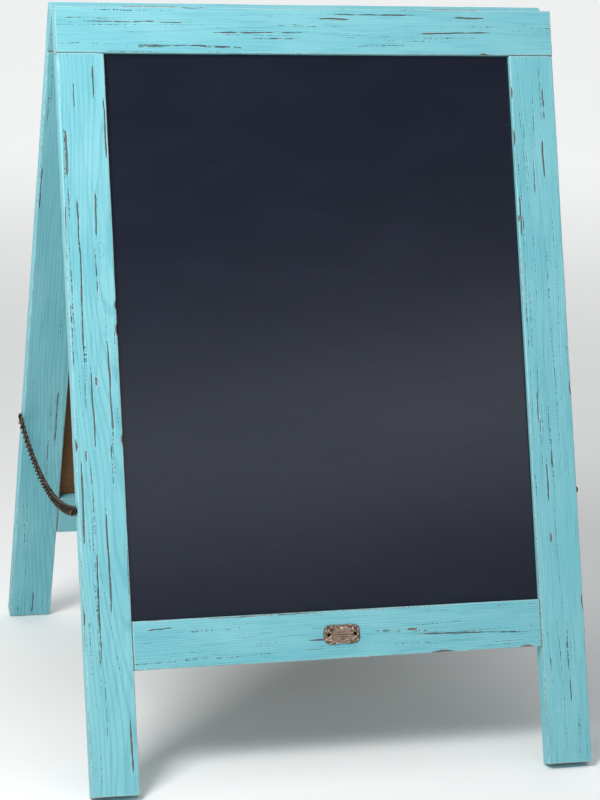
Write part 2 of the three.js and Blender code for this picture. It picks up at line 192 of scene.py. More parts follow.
class Grain:
    """Where the annual rings of one board lie, and which of them have opened into dark lines."""

    def __init__(self, seed, pith=(20, -90), slope=(0.0, 0.0), spacing=3.6, opened=0.0, warp=1.0,
                 knots=(), splits=(), inner_splits=(), chips=()):
        self.seed = seed
        self.pith = pith            # centre of the tree from the board's middle line, across and through
        self.slope = slope          # how that centre drifts for each millimetre along the board
        self.spacing = spacing
        self.opened = opened        # more than 0 opens more lines
        self.warp = warp
        self.knots = knots          # (along, across, reach along, reach across, push)
        self.splits = splits        # on the outer face: (half width, [(along, across), ...])
        self.inner_splits = inner_splits
        self.chips = chips          # (along, across, reach along, reach across)

    def rings(self, points):
        x, y, z = points.T
        centre_y = self.pith[0] + self.slope[0] * x + 5 * soft_noise(self.seed, x / 230)
        centre_z = self.pith[1] + self.slope[1] * x + 7 * soft_noise(self.seed + 1, x / 270)
        away = np.hypot(y - centre_y, z - centre_z)
        away += self.warp * 2.2 * soft_noise(self.seed + 2, x / 150, y / 30, z / 30)
        away += self.warp * 0.5 * soft_noise(self.seed + 3, x / 45, y / 9, z / 9)
        for along, across, reach_x, reach_y, push in self.knots:
            near = ((x - along) / reach_x) ** 2 + ((y - across) / reach_y) ** 2
            away += push * np.exp(-near)
        return away / self.spacing

    def ring_gap(self, points, normals):
        """Millimetres from one ring to the next, measured over the surface."""
        here = self.rings(points)
        slope = np.stack([
            (self.rings(points + offset) - here) / RING_PROBE for offset in np.eye(3) * RING_PROBE
        ], axis=1)
        slope -= normals * np.sum(slope * normals, axis=1, keepdims=True)
        return here, 1 / np.maximum(np.linalg.norm(slope, axis=1), 0.06)

    def opening(self, points, ring):
        """Half the width of the dark line on the nearest ring, in millimetres; below 0 it is shut."""
        x = points[:, 0]
        index = np.round(ring)
        own = soft_noise(self.seed + 4, index * 0.77 + 0.5, index * 0)
        long = soft_noise(self.seed + 5, x / 120, index * 5.3)
        short = soft_noise(self.seed + 6, x / 16, index * 9.7)
        fine = soft_noise(self.seed + 7, x / 5, index * 3.1)
        half = 0.02 + self.opened + 0.38 * own + 0.42 * long + 0.24 * short + 0.16 * fine
        return np.clip(half, -1, WIDEST_OPENING)

    def split_lines(self, points, normals):
        """Signed distance to the nearest split and the split's half width there."""
        x, y, _ = points.T
        offset = np.full(len(x), FAR)
        half = np.full(len(x), -FAR)
        facing = [(1, split) for split in self.splits] + [(-1, split) for split in self.inner_splits]
        for face, (width, route) in facing:
            along, across = np.array(route, float).T
            middle = np.interp(x, along, across)
            middle += 0.35 * soft_noise(self.seed + 8, x / 14, y * 0)
            part = np.clip((x - along[0]) / (along[-1] - along[0]), 0, 1)
            taper = np.minimum(1, 6 * np.minimum(part, 1 - part)) ** 0.5
            rough = 1 + 0.3 * soft_noise(self.seed + 9, x / 11, across[0])
            rough += 0.25 * soft_noise(self.seed + 10, x / 3.5, across[0])
            here = width * taper * rough - 0.08
            elsewhere = (x < along[0]) | (x > along[-1]) | (normals[:, 2] * face < 0.5)
            here = np.where(elsewhere, -FAR, here)
            away = y - middle
            closer = np.abs(away) - here < np.abs(offset) - half
            offset = np.where(closer, away, offset)
            half = np.where(closer, here, half)
        shut = np.abs(offset) > half + 1.3
        return np.clip(offset, -FAR, FAR), np.where(shut, -FAR, half)

    def chipped(self, points):
        """How much is missing, from 0 to 1. Only the outer face and its arrises are chipped."""
        x, y, z = points.T
        mask = np.zeros(len(x))
        for along, across, reach_x, reach_y in self.chips:
            near = ((x - along) / reach_x) ** 2 + ((y - across) / reach_y) ** 2
            near *= 1 + 0.7 * soft_noise(self.seed + 24, x / 2.6, y / 1.1)
            mask = np.maximum(mask, np.exp(-near * near))
        return mask * smoothstep(4, 8, z)


def timber(name, length, width, grain):
    """A board with its grain along X, its width along Y and its outer face towards +Z.

    Its skin never stands proud of the plain board: edges are eased, grain is brushed out, splits are
    cut and chips are missing, all inwards.
    """
    places, directions = face_columns(width)
    columns = len(places)
    ends = [0, 0.12, 0.4, END_BEVEL]
    middle = np.linspace(2, length - 2, int((length - 4) / ROW_STEP))
    stations = np.concatenate([ends, middle, [length - end for end in reversed(ends)]])
    shrink = np.concatenate([CAP_RINGS, np.zeros(len(stations)), CAP_RINGS[::-1]])
    x = np.concatenate([[0] * len(CAP_RINGS), stations, [length] * len(CAP_RINGS)])
    rows = len(x)

    corner = np.arange(4)
    eased = 1.7 + 0.6 * soft_noise(grain.seed + 20, x[:, None] / 60, corner[None, :] * 7.0)
    eased += 0.5 * soft_noise(grain.seed + 21, x[:, None] / 13, corner[None, :] * 5.0)
    eased = np.clip(eased, 1.25, 2.8)
    nearest = (places[:, 0] > 0) * 1 + (places[:, 1] > 0) * 2
    radius = eased[:, nearest]
    end_distance = np.minimum(x, length - x)[:, None]
    inset = END_BEVEL - np.sqrt(np.maximum(0, END_BEVEL**2 - np.maximum(0, END_BEVEL - end_distance) ** 2))

    y = places[:, 0] * (width / 2 - radius) + directions[:, 0] * (radius - inset)
    z = places[:, 1] * (THICKNESS / 2 - radius) + directions[:, 1] * (radius - inset)
    medial = np.sign(places[:, 0]) * np.minimum(np.abs(places[:, 0]) * width / 2, width / 2 - THICKNESS / 2)
    keep = 1 - shrink[:, None]
    y = medial * (1 - keep) + y * keep
    z = z * keep
    points = np.stack([np.broadcast_to(x[:, None], y.shape), y, z], axis=-1).reshape(-1, 3)

    normals = np.zeros((rows, columns, 3))
    normals[:, :, 1:] = directions[None, :, :]
    caps = shrink > 0
    normals[caps] = (1, 0, 0)
    normals = normals.reshape(-1, 3)

    ring, gap = grain.ring_gap(points, normals)
    crack = grain.opening(points, ring)
    offset, half = grain.split_lines(points, normals)
    chip = grain.chipped(points)
    edge = 1 - smoothstep(0.3, 3.2, edge_distance(points, length, width))

    away = np.abs(ring - np.round(ring)) * gap
    groove = RING_GROOVE * (1 - smoothstep(0.1, 0.75, away - crack)) * smoothstep(0, 0.3, crack)
    split = 1 - smoothstep(-0.3, 0.5, np.abs(offset) - half)
    groove += SPLIT_GROOVE * split * smoothstep(0.1, 0.9, half)
    brushed = BRUSHED * (0.5 - 0.5 * np.cos(2 * math.pi * ring)) * smoothstep(2, 4, gap)
    x_all, y_all, z_all = points.T
    uneven = UNEVEN * (1 + soft_noise(grain.seed + 22, x_all / 70, y_all / 16, z_all / 16))
    broken = soft_noise(grain.seed + 23, x_all / 6, y_all / 3, z_all / 3)
    missing = chip * (0.7 + 0.35 * broken)
    depth = np.where(np.repeat(caps, columns), 0, groove + brushed + uneven + missing)
    inward = normals * depth[:, None]
    inward[np.repeat(caps, columns)] = 0
    points = points - inward

    faces = wrapped_faces(rows, columns)
    faces.append(tuple(range(columns)))
    faces.append(tuple(reversed(range((rows - 1) * columns, rows * columns))))
    board = make_mesh(name, points, faces, {
        "ring": ring, "gap": gap, "crack": crack, "split_offset": offset, "split_half": half,
        "wear": np.clip(edge + 1.4 * chip, 0, 2),
    })
    return board


def edge_distance(points, length, width):
    """How far each point is from the nearest long or short edge of the plain board."""
    x, y, z = points.T
    from_end = np.minimum(x, length - x)
    from_side = width / 2 - np.abs(y)
    from_face = THICKNESS / 2 - np.abs(z)
    three = np.sort(np.stack([from_end, from_side, from_face]), axis=0)
    return three[1]


STILE_TURN = Matrix(((0, 1, 0), (0, 0, -1), (-1, 0, 0)))     # along the board is down the frame
RAIL_TURN = Matrix(((1, 0, 0), (0, 0, -1), (0, 1, 0)))       # along the board is across the frame


def board_places():
    """For each board of one frame: its side or None, its kind, length, width, start and turn."""
    places = []
    for side, sign in SIDES.items():
        start = (sign * (HALF_WIDTH - STILE_WIDTH / 2), -MIDDLE, -(TOP_RAIL + FIT + PIN_RISE))
        places.append((side, "stile", STILE_LENGTH, STILE_WIDTH, start, STILE_TURN))
    start = (-HALF_WIDTH, -MIDDLE, -(TOP_RAIL / 2 + PIN_RISE))
    places.append((None, "top_rail", FRAME_WIDTH, TOP_RAIL, start, RAIL_TURN))
    start = (-BOTTOM_RAIL_LENGTH / 2, -MIDDLE, -(BOTTOM_RAIL_TOP + BOTTOM_RAIL / 2 + PIN_RISE))
    places.append((None, "bottom_rail", BOTTOM_RAIL_LENGTH, BOTTOM_RAIL, start, RAIL_TURN))
    return places


EDGE = STILE_WIDTH / 2 - 1      # splits and chips are centred within this of a board's middle line


def scattered_splits(seed, length, count, arch=0):
    """Splits along the grain of a board, as (half width, [(along, across), ...]).

    They gather towards its two long edges, and most are thin. They follow an arch of that height.
    """
    source = np.random.default_rng(seed)
    splits = []
    for _ in range(count):
        reach = source.triangular(20, 50, 180)
        start = source.uniform(0, length - reach)
        side = source.choice((-1, 1)) * EDGE * source.uniform() ** 0.6
        half = 0.4 + 0.9 * source.uniform() ** 3
        drift = source.normal(0, 0.012)
        route = []
        for part in (0, 0.33, 0.67, 1):
            along = start + reach * part
            bow = arch * math.sin(math.pi * along / length)
            across = side + drift * reach * part + bow + source.uniform(-0.5, 0.5)
            route.append((along, min(EDGE, max(-EDGE, across))))
        splits.append((half, route))
    return splits


def scattered_chips(seed, length, count):
    """Chips in the paint, most of them on an edge, as (along, across, reach along, reach across)."""
    source = np.random.default_rng(seed)
    chips = []
    for _ in range(count):
        on_edge = source.uniform() < 0.7
        side = source.choice((-EDGE, EDGE)) if on_edge else source.uniform(-EDGE, EDGE)
        chips.append((source.uniform(0, length), side, source.uniform(3, 10), source.uniform(1.2, 2.4)))
    return chips


GRAINS = {
    "front_left_stile": Grain(
        11, pith=(26, -44), slope=(0.002, -0.02), spacing=2.3, opened=-0.14,
        splits=scattered_splits(51, STILE_LENGTH, 34), chips=scattered_chips(71, STILE_LENGTH, 7),
        knots=[(230, 10, 9, 5, -5.0)]),
    "front_right_stile": Grain(
        12, pith=(-85, -50), slope=(0.01, 0.004), spacing=2.4, opened=-0.34,
        splits=scattered_splits(52, STILE_LENGTH, 20), chips=scattered_chips(72, STILE_LENGTH, 6)),
    "front_top_rail": Grain(
        13, pith=(-170, -60), slope=(-0.012, 0.0), spacing=2.6, opened=-0.24, warp=0.8,
        splits=scattered_splits(53, FRAME_WIDTH, 24), chips=scattered_chips(73, FRAME_WIDTH, 2),
        knots=[(300, 30, 25, 12, 7.0)]),
    "front_bottom_rail": Grain(
        14, pith=(-130, -60), slope=(-0.004, 0.02), spacing=2.8, opened=-0.28, warp=0.8,
        splits=scattered_splits(54, BOTTOM_RAIL_LENGTH, 14, arch=8),
        chips=scattered_chips(74, BOTTOM_RAIL_LENGTH, 3)),
    "back_left_stile": Grain(
        15, pith=(-60, -60), slope=(0.0, -0.03), spacing=3.2, opened=-0.3,
        splits=scattered_splits(55, STILE_LENGTH, 20), chips=scattered_chips(75, STILE_LENGTH, 3),
        inner_splits=scattered_splits(59, STILE_LENGTH, 10)),
    "back_right_stile": Grain(
        16, pith=(60, -50), slope=(-0.01, 0.02), spacing=3.0, opened=-0.22,
        splits=scattered_splits(56, STILE_LENGTH, 24), chips=scattered_chips(76, STILE_LENGTH, 3),
        inner_splits=scattered_splits(60, STILE_LENGTH, 10)),
    "back_top_rail": Grain(
        17, pith=(150, -70), slope=(0.03, 0.02), spacing=2.8, opened=-0.2,
        splits=scattered_splits(57, FRAME_WIDTH, 20), knots=[(410, -6, 20, 9, 5.0)]),
    "back_bottom_rail": Grain(
        18, pith=(-120, -70), slope=(0.01, 0.03), spacing=2.8, opened=-0.2,
        splits=scattered_splits(58, BOTTOM_RAIL_LENGTH, 12, arch=8),
        chips=scattered_chips(78, BOTTOM_RAIL_LENGTH, 1)),
}


def matrix_at(turn, start):
    place = turn.to_4x4()
    place.translation = Vector(start) * MM
    return place


def build_timbers(which, paint):
    for side, kind, length, width, start, turn in board_places():
        node = "_".join(filter(None, (which, side and real_side(which, side), kind)))
        board = timber(f"{node}_timber", length, width, GRAINS[node])
        board.matrix_world = frame_matrix(which) @ matrix_at(turn, start)
        board.data.materials.append(paint)
        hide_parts(node)
        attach(board, f"{which}_frame")


# ---- material graphs -----------------------------------------------------------------------------

def srgb(red, green, blue):
    """A linear colour from display values of 0 to 255."""
    def linear(value):
        value /= 255
        return value / 12.92 if value <= 0.04045 else ((value + 0.055) / 1.055) ** 2.4
    return (linear(red), linear(green), linear(blue), 1)


class Shader:
    """One material. Each call adds a node and returns the socket that it makes."""

    def __init__(self, name, **settings):
        self.material = bpy.data.materials.new(name)
        self.material.use_nodes = True
        self.tree = self.material.node_tree
        self.tree.nodes.clear()
        self.surface = self.tree.nodes.new("ShaderNodeBsdfPrincipled")
        output = self.tree.nodes.new("ShaderNodeOutputMaterial")
        self.tree.links.new(self.surface.outputs["BSDF"], output.inputs["Surface"])
        for key, value in settings.items():
            self.surface.inputs[key.replace("_", " ")].default_value = value
        self.place = self.tree.nodes.new("ShaderNodeTexCoord").outputs["Object"]

    def put(self, socket, value):
        if isinstance(value, bpy.types.NodeSocket):
            self.tree.links.new(value, socket)
        else:
            socket.default_value = value

    def set(self, key, value):
        self.put(self.surface.inputs[key], value)

    def attribute(self, name):
        node = self.tree.nodes.new("ShaderNodeAttribute")
        node.attribute_name = name
        return node.outputs["Fac"]

    def math(self, operation, first, second=0.0, third=0.0):
        node = self.tree.nodes.new("ShaderNodeMath")
        node.operation = operation
        for socket, value in zip(node.inputs, (first, second, third)):
            self.put(socket, value)
        return node.outputs[0]

    def noise(self, scale, detail=2.0, roughness=0.5, shift=0.0, distortion=0.0):
        """Noise from 0 to 1 whose features are as long, in millimetres, as the three scales say."""
        stretch = self.tree.nodes.new("ShaderNodeVectorMath")
        stretch.operation = "MULTIPLY_ADD"
        self.put(stretch.inputs[0], self.place)
        stretch.inputs[1].default_value = [1 / (length * MM) for length in scale]
        stretch.inputs[2].default_value = (shift, shift, shift)
        node = self.tree.nodes.new("ShaderNodeTexNoise")
        self.put(node.inputs["Vector"], stretch.outputs[0])
        node.inputs["Scale"].default_value = 1.0
        node.inputs["Detail"].default_value = detail
        node.inputs["Roughness"].default_value = roughness
        node.inputs["Distortion"].default_value = distortion
        return node.outputs[0]

    def step(self, value, low, high, to_low=0.0, to_high=1.0):
        node = self.tree.nodes.new("ShaderNodeMapRange")
        node.interpolation_type = "SMOOTHSTEP"
        for socket, entry in zip(node.inputs, (value, low, high, to_low, to_high)):
            self.put(socket, entry)
        return node.outputs[0]

    def mix(self, factor, first, second):
        node = self.tree.nodes.new("ShaderNodeMix")
        node.data_type = "RGBA"
        self.put(node.inputs[0], factor)
        self.put(node.inputs[6], first)
        self.put(node.inputs[7], second)
        return node.outputs[2]

    def bump(self, height, depth):
        """A bump whose height of 1 stands the given millimetres high."""
        node = self.tree.nodes.new("ShaderNodeBump")
        node.inputs["Strength"].default_value = 1.0
        node.inputs["Distance"].default_value = depth * MM
        self.put(node.inputs["Height"], height)
        self.set("Normal", node.outputs[0])


def paint_material():
    """Brushed turquoise paint on open-grained softwood, with dark lines where the grain has opened."""
    shader = Shader("turquoise_paint", Specular_IOR_Level=0.25)
    streaks = shader.noise((22, 1.0, 1.0), detail=3, roughness=0.6)
    brush = shader.noise((60, 3.0, 3.0), detail=2, shift=9)
    broad = shader.noise((180, 35, 35), detail=2, shift=21)
    speck = shader.noise((2.2, 0.7, 0.7), detail=3, roughness=0.65, shift=4)
    flecks = shader.noise((9, 1.3, 1.3), detail=2, roughness=0.6, shift=14)
    beads = shader.noise((2.6, 6, 6), detail=1, shift=31)
    wobble = shader.math("MULTIPLY_ADD", speck, 0.7, -0.35)
    ring = shader.attribute("ring")
    nearest = shader.math("ROUND", ring)
    from_ring = shader.math("ABSOLUTE", shader.math("SUBTRACT", ring, nearest))
    from_ring = shader.math("MULTIPLY", from_ring, shader.attribute("gap"))
    ring_depth = shader.math("SUBTRACT", shader.attribute("crack"), from_ring)
    split_depth = shader.math("ABSOLUTE", shader.attribute("split_offset"))
    split_depth = shader.math("SUBTRACT", shader.attribute("split_half"), split_depth)
    depth = shader.math("MAXIMUM", ring_depth, split_depth)
    depth = shader.math("ADD", depth, wobble)
    widest = shader.math("MAXIMUM", shader.attribute("crack"), shader.attribute("split_half"))
    broken = shader.math("MULTIPLY", shader.step(beads, 0.42, 0.52), shader.step(widest, 0.62, 0.34))
    depth = shader.math("SUBTRACT", depth, shader.math("MULTIPLY", broken, 0.5))
    line = shader.step(depth, -0.12, 0.16)
    inside = shader.step(depth, 0.45, 0.85)
    rim = shader.math("SUBTRACT", shader.step(depth, -0.9, -0.3), line)
    rim = shader.math("MULTIPLY", rim, shader.step(widest, 0.2, 0.5))
    rim = shader.math("MULTIPLY", rim, shader.step(flecks, 0.5, 0.62))

    light = srgb(136, 202, 211)
    plain = srgb(120, 192, 203)
    deep = srgb(82, 163, 178)
    colour = shader.mix(shader.step(broad, 0.3, 0.7), plain, light)
    colour = shader.mix(shader.math("MULTIPLY", shader.step(brush, 0.45, 0.8), 0.45), colour, deep)
    colour = shader.mix(shader.math("MULTIPLY", shader.step(streaks, 0.52, 0.78), 0.4), colour, deep)
    late = shader.math("COSINE", shader.math("MULTIPLY", ring, 2 * math.pi))
    colour = shader.mix(shader.math("MULTIPLY", shader.step(late, 0.3, 1.0), 0.34), colour, deep)
    colour = shader.mix(shader.math("MULTIPLY", rim, 0.6), colour, srgb(205, 222, 222))

    charcoal = srgb(58, 56, 58)
    brown = srgb(132, 102, 84)
    bare = shader.mix(shader.step(streaks, 0.35, 0.65), srgb(92, 82, 76), srgb(136, 124, 115))
    crack_colour = shader.mix(inside, charcoal, shader.mix(0.5, brown, bare))
    colour = shader.mix(shader.math("MULTIPLY", line, 0.92), colour, crack_colour)

    worn = shader.math("ADD", shader.attribute("wear"), shader.math("MULTIPLY", speck, 0.9))
    worn = shader.math("ADD", worn, shader.math("MULTIPLY", broad, 0.5))
    bare_mask = shader.step(worn, 1.62, 1.75)
    pale_mask = shader.math("MULTIPLY", shader.step(worn, 1.25, 1.5), 0.5)
    colour = shader.mix(pale_mask, colour, srgb(190, 222, 222))
    colour = shader.mix(bare_mask, colour, bare)
    shader.set("Base Color", colour)

    rough = shader.math("MULTIPLY_ADD", streaks, 0.2, 0.46)
    rough = shader.math("ADD", rough, shader.math("MULTIPLY", line, 0.25))
    shader.set("Roughness", rough)
    height = shader.math("MULTIPLY", line, -1.0)
    height = shader.math("ADD", height, shader.math("MULTIPLY", bare_mask, -0.5))
    height = shader.math("ADD", height, shader.math("MULTIPLY", streaks, 0.35))
    height = shader.math("ADD", height, shader.math("MULTIPLY", speck, 0.2))
    shader.bump(height, 0.25)
    return shader.material


def slate_material():
    """Smooth factory slate paint: nearly even, with faint clouds left by wiping."""
    shader = Shader("chalkboard_slate", Specular_IOR_Level=0.5)
    clouds = shader.noise((160, 110, 60), detail=4, roughness=0.55)
    wiped = shader.noise((90, 12, 12), detail=3, shift=5)
    grit = shader.noise((0.5, 0.5, 0.5), detail=2, shift=7)
    colour = shader.mix(shader.step(clouds, 0.3, 0.75), srgb(20, 25, 39), srgb(23, 28, 43))
    colour = shader.mix(shader.math("MULTIPLY", shader.step(wiped, 0.5, 0.8), 0.15), colour, srgb(28, 34, 52))
    shader.set("Base Color", colour)
    shader.set("Roughness", shader.math("MULTIPLY_ADD", clouds, 0.06, 0.2))
    shader.bump(grit, 0.012)
    return shader.material


def hardboard_material():
    """The raw brown back of the board, pressed from fibres."""
    shader = Shader("raw_hardboard", Roughness=0.85, Specular_IOR_Level=0.2)
    fibres = shader.noise((1.2, 5, 1.2), detail=4, roughness=0.7)
    crossed = shader.noise((4, 1.0, 4), detail=3, shift=8)
    broad = shader.noise((60, 60, 60), detail=2, shift=2)
    colour = shader.mix(shader.step(fibres, 0.35, 0.65), srgb(92, 66, 44), srgb(124, 92, 62))
    pale = shader.math("MULTIPLY", shader.step(crossed, 0.55, 0.75), 0.5)
    colour = shader.mix(pale, colour, srgb(150, 116, 82))
    dark = shader.math("MULTIPLY", shader.step(broad, 0.4, 0.7), 0.3)
    colour = shader.mix(dark, colour, srgb(84, 58, 40))
    shader.set("Base Color", colour)
    shader.bump(shader.math("ADD", fibres, crossed), 0.12)
    return shader.material


def beech_material():
    shader = Shader("beech_dowel", Roughness=0.6, Specular_IOR_Level=0.3)
    fibres = shader.noise((0.8, 0.8, 12), detail=3)
    flecks = shader.noise((0.3, 0.3, 1.6), detail=2, shift=6)
    colour = shader.mix(shader.step(fibres, 0.3, 0.7), srgb(196, 158, 112), srgb(222, 190, 146))
    dark = shader.math("MULTIPLY", shader.step(flecks, 0.62, 0.7), 0.5)
    colour = shader.mix(dark, colour, srgb(150, 108, 70))
    shader.set("Base Color", colour)
    shader.bump(fibres, 0.05)
    return shader.material


def steel_material():
    """Zinc-plated steel, a little dull, with fine scratches and spots of tarnish."""
    shader = Shader("zinc_plated_steel", Metallic=1.0)
    clouds = shader.noise((6, 6, 6), detail=4)
    scratches = shader.noise((14, 0.25, 0.25), detail=3, roughness=0.7, shift=3)
    spots = shader.noise((1.6, 1.6, 1.6), detail=3, roughness=0.7, shift=11)
    colour = shader.mix(shader.step(clouds, 0.3, 0.7), srgb(150, 148, 144), srgb(186, 185, 180))
    tarnish = shader.math("MULTIPLY", shader.step(spots, 0.6, 0.72), 0.6)
    colour = shader.mix(tarnish, colour, srgb(104, 92, 78))
    shader.set("Base Color", colour)
    rough = shader.math("MULTIPLY_ADD", scratches, 0.3, 0.2)
    shader.set("Roughness", shader.math("ADD", rough, shader.math("MULTIPLY", tarnish, 0.3)))
    shader.bump(scratches, 0.03)
    return shader.material


def chain_material():
    """Blackened bronze plating, tan along one side of the wire: a painted highlight, partly rubbed plating.
    """
    shader = Shader("blackened_bronze", Metallic=0.9)
    clouds = shader.noise((3, 3, 3), detail=3)
    grit = shader.noise((1.5, 1.5, 1.5), detail=3, roughness=0.65, shift=5)
    colour = shader.mix(shader.step(clouds, 0.35, 0.65), srgb(14, 11, 10), srgb(32, 25, 21))
    # worn and high carry the tan painted highlight, partly rubbed plating, on one side of the wire
    worn = shader.math("MULTIPLY_ADD", grit, 0.9, shader.attribute("rub_and_highlight"))
    high = shader.step(worn, 1.36, 1.5)
    colour = shader.mix(high, colour, srgb(206, 168, 144))
    shader.set("Base Color", colour)
    shader.set("Roughness", shader.math("MULTIPLY_ADD", high, -0.12, 0.46))
    shader.bump(grit, 0.06)
    return shader.material


def plaque_material():
    """Cast label in aged bronze: dark in the hollows, pinkish tan on what stands up."""
    shader = Shader("aged_bronze_label", Metallic=0.3)
    raised = shader.attribute("raised")
    cast = shader.noise((1.0, 1.0, 1.0), detail=4, roughness=0.65)
    clouds = shader.noise((7, 7, 7), detail=3, shift=4)
    level = shader.math("ADD", raised, shader.math("MULTIPLY_ADD", cast, 0.5, -0.25))
    colour = shader.mix(shader.step(level, 0.1, 0.6), srgb(74, 58, 48), srgb(152, 130, 114))
    colour = shader.mix(shader.step(level, 0.62, 0.95), colour, srgb(214, 194, 174))
    stain = shader.math("MULTIPLY", shader.step(clouds, 0.45, 0.7), 0.4)
    colour = shader.mix(stain, colour, srgb(104, 82, 70))
    shader.set("Base Color", colour)
    shader.set("Roughness", shader.math("MULTIPLY_ADD", cast, 0.25, 0.38))
    shader.bump(cast, 0.12)
    return shader.material


# ---- writing panels ------------------------------------------------------------------------------

PANEL_COLUMNS = 54
PANEL_ROWS = 70
PANEL_FLEX = 0.18


def build_panel(which, slate, hardboard):
    """A thin board in its groove: slate paint towards the outside, bare hardboard inside."""
    node = f"{which}_chalk_panel"
    half_x = OPENING + GROOVE
    top = -(TOP_RAIL - GROOVE + PIN_RISE)
    bottom = -(BOTTOM_RAIL_TOP + GROOVE + PIN_RISE)
    outer = -(OUTER_FACE - PANEL_RECESS)
    across = np.linspace(-half_x, half_x, PANEL_COLUMNS)
    down = np.linspace(bottom, top, PANEL_ROWS)
    vertices, faces = [], []
    for layer, depth in enumerate((outer, outer + PANEL_THICKNESS)):
        for z in down:
            for x in across:
                flex = PANEL_FLEX * (1 + soft_noise(31, np.array([x / 160]), np.array([z / 190]))[0])
                vertices.append((x, depth + (flex if layer == 0 else -flex), z))
    columns, rows = PANEL_COLUMNS, PANEL_ROWS
    size = columns * rows

    def quad(a, b, c, d, flip):
        faces.append((a, d, c, b) if flip else (a, b, c, d))

    for layer in (0, 1):
        for row in range(rows - 1):
            for column in range(columns - 1):
                a = layer * size + row * columns + column
                quad(a, a + 1, a + columns + 1, a + columns, layer == 1)
    slate_faces = len(faces) // 2
    for column in range(columns - 1):
        last = (rows - 1) * columns
        quad(column + 1, column, size + column, size + column + 1, False)
        quad(last + column, last + column + 1, size + last + column + 1, size + last + column, False)
    for row in range(rows - 1):
        left, right = row * columns, row * columns + columns - 1
        quad(left, left + columns, size + left + columns, size + left, False)
        quad(right + columns, right, size + right, size + right + columns, False)
    panel = make_mesh(f"{node}_board", vertices, faces, smooth=False)
    panel.data.materials.append(hardboard)
    panel.data.materials.append(slate)
    for index in range(slate_faces):
        panel.data.polygons[index].material_index = 1
        panel.data.polygons[index].use_smooth = True
    panel.matrix_world = frame_matrix(which)
    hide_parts(node)
    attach(panel, f"{which}_frame")


# ---- chains --------------------------------------------------------------------------------------

WIRE = 1.25                     # radius of the chain's wire
LINK_HALF_WIDTH = 5.0           # to the middle of the wire
LINK_TWIST = math.radians(-40)
CHAIN_MIDDLE = HALF_WIDTH + 3.05
SCREW_CLEARANCE = 1.2           # the end link is this much longer, to go round its screw
END_LINK_LIFT = -1.75           # the end link leans this far towards the stile, to lie under the head
HIGHLIGHT_AND_RUB_SIDE = 0.7               # where round the wire the painted highlight and rubbed plating are strongest, in radians


def chain_curve():
    """The hanging chain as a function: distance along it from its middle to (y, z)."""
    drop = CHAIN_SCREW_DROP + PIN_RISE
    half_span = drop * math.sin(LEAN) + MIDDLE * math.cos(LEAN)
    height = PIN_HEIGHT - drop * math.cos(LEAN) + MIDDLE * math.sin(LEAN)
    half_length = LINK_PITCH * sum(LINKS_PER_SEGMENT)
    low, high = half_span / 10, half_span * 100
    for _ in range(60):
        parameter = (low + high) / 2
        if parameter * math.sinh(half_span / parameter) > half_length:
            low = parameter
        else:
            high = parameter
    lowest = height - parameter * (math.cosh(half_span / parameter) - 1)

    def at(along):
        y = parameter * math.asinh(along / parameter)
        return y, lowest + parameter * (math.cosh(y / parameter) - 1)
    return at, half_length


def link_mesh(start, end, sign, is_end):
    """One twisted link between two points (y, z), as vertices, faces and how much painted highlight and
    rubbed plating each vertex has.
    """
    around, section = 44, 10
    reach = LINK_PITCH / 2 + WIRE
    y0, z0 = start
    y1, z1 = end
    length = math.hypot(y1 - y0, z1 - z0)
    along = Vector((0, (y1 - y0) / length, (z1 - z0) / length))
    outward = Vector((sign, 0, 0))
    across = outward.cross(along)
    middle = Vector((sign * CHAIN_MIDDLE, (y0 + y1) / 2, (z0 + z1) / 2))
    line = []
    for step in range(around):
        angle = 2 * math.pi * step / around
        cosine, sine = math.cos(angle), math.sin(angle)
        s = cosine * reach
        w = sine * LINK_HALF_WIDTH
        twist = LINK_TWIST * cosine
        lift = 0.0
        if is_end and cosine < 0:
            s -= SCREW_CLEARANCE * -cosine
            twist = 0.0
            lift = END_LINK_LIFT * -cosine
        point = middle + along * s + across * (w * math.cos(twist)) + outward * (w * math.sin(twist) + lift)
        line.append(point)
    vertices, faces, rub_and_highlight = [], [], []
    for step, point in enumerate(line):
        tangent = (line[(step + 1) % around] - line[step - 1]).normalized()
        side = (point - middle).cross(tangent).normalized()
        out = tangent.cross(side)
        for turn in range(section):
            angle = 2 * math.pi * turn / section
            vertices.append(point + side * (WIRE * math.cos(angle)) + out * (WIRE * math.sin(angle)))
            # how strong the painted highlight, partly rubbed plating, is at this point round the wire
            rub_and_highlight.append(max(0, math.cos(angle - HIGHLIGHT_AND_RUB_SIDE)))
    for step in range(around):
        for turn in range(section):
            a = step * section + turn
            b = step * section + (turn + 1) % section
            c = ((step + 1) % around) * section + (turn + 1) % section
            d = ((step + 1) % around) * section + turn
            faces.append((a, b, c, d))
    return vertices, faces, rub_and_highlight


def build_chain(side, metal):
    sign = SIDES[side]
    at, half_length = chain_curve()
    for end, direction in (("front", -1), ("back", 1)):
        first = 0
        for index, count in enumerate(LINKS_PER_SEGMENT):
            vertices, faces, rub_and_highlight = [], [], []
            for link in range(first, first + count):
                start = at(direction * (half_length - link * LINK_PITCH))
                finish = at(direction * (half_length - (link + 1) * LINK_PITCH))
                points, quads, worn = link_mesh(start, finish, sign, link == 0)
                base = len(vertices)
                rub_and_highlight.extend(worn)
                vertices.extend(points)
                faces.extend(tuple(base + corner for corner in quad) for quad in quads)
            first += count
            node = f"{side}_chain_{end}_{index + 1}"
            links = make_mesh(f"{node}_links", vertices, faces, {"rub_and_highlight": rub_and_highlight})
            links.data.materials.append(metal)
            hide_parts(node)
            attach(links, node)


# ---- turned hardware -----------------------------------------------------------------------------

